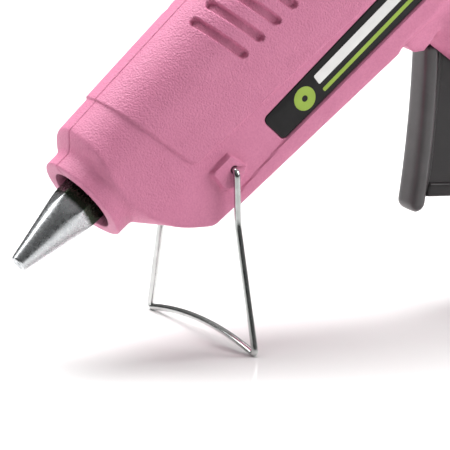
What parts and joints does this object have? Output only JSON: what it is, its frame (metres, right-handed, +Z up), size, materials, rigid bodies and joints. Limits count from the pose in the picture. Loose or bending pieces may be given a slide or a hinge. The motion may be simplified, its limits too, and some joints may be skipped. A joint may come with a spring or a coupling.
{
  "type": "glue gun",
  "caption": "Hot glue gun with pink two-part casing, hex-based aluminium nozzle, trigger feed and folding wire stand, standing on the stand and the toe of its handle.",
  "frame": {"origin": "on the floor, under the middle of the bounding box, between the stand's foot and the end of the handle", "axes": "+Z up; the nozzle points to -X and slopes down; the half of the casing seen in the picture faces -Y"},
  "size_m": [0.2564, 0.0588, 0.1563],
  "materials": {
    "casing": "pink moulded plastic, fine leather grain",
    "label": "plain black strip",
    "black_plastic": "black moulded plastic",
    "nozzle_metal": "turned cone, cast flats",
    "cast_aluminium": "as cast",
    "ceramic": "ceramic and heat-resistant board",
    "silicone": "silicone rubber",
    "spring_steel": "spring steel",
    "steel": "steel",
    "zinc_wire": "bright zinc-plated wire",
    "nylon": "natural nylon",
    "brass": "brass",
    "trigger_plastic": "dark grey plastic",
    "trigger_grip": "dark grey satin plastic"
  },
  "bodies": {
    "casing": {"shell_near": "casing", "shell_far": "casing", "label_strip_near": "label", "label_strip_far": "label", "inlet_collar": "black_plastic", "nozzle": "nozzle_metal", "heating_chamber": "cast_aluminium", "ptc_heater": "ceramic", "heater_clip": "spring_steel", "chamber_support_front": "ceramic", "chamber_support_rear": "ceramic", "inlet_sleeve": "silicone", "sleeve_clamp": "spring_steel", "trigger_pin": "steel", "trigger_spring": "spring_steel", "heater_lead_near": "silicone", "heater_lead_far": "silicone", "terminal_block": "nylon", "terminal_screw_near": "brass", "terminal_screw_far": "brass", "cord_inlet": "black_plastic", "casing_screw_1": "steel", "casing_screw_2": "steel", "casing_screw_3": "steel", "casing_screw_4": "steel", "casing_screw_5": "steel", "casing_screw_6": "steel"},
    "trigger": {"trigger": "trigger_plastic", "trigger_pad": "trigger_grip"},
    "feed_carriage": {"feed_carriage": "nylon", "carriage_pin": "steel", "gripper_pin": "steel"},
    "gripper": {"gripper_jaw": "steel"},
    "stand": {"wire_stand": "zinc_wire"}
  },
  "joints": [
    {"name": "trigger_squeeze", "type": "hinge", "parent": "casing", "child": "trigger", "pos_m": [0.01025, 0, 0.09505], "axis": [0, -1, 0], "range_deg": [0, 24], "stiffness_Nm_per_rad": 0.25, "springref_deg": -17.19, "deforming": ["trigger_spring"]},
    {"name": "feed_stroke", "type": "slide", "parent": "casing", "child": "feed_carriage", "axis": [-0.8028, 0, -0.5962], "range_m": [0, 0.0072]},
    {"name": "gripper_bite", "type": "hinge", "parent": "feed_carriage", "child": "gripper", "pos_m": [-0.01824, 0, 0.12671], "axis": [0, 1, 0], "range_deg": [0, 16.2]},
    {"name": "stand_fold", "type": "hinge", "parent": "casing", "child": "stand", "pos_m": [-0.06326, 0, 0.05466], "axis": [0, -1, 0], "range_deg": [0, 108]}
  ],
  "couplings": [
    {"joint": "feed_stroke", "follows": "trigger_squeeze", "m_per_rad": 0.016847},
    {"joint": "gripper_bite", "follows": "trigger_squeeze", "ratio": 0.66667}
  ]
}
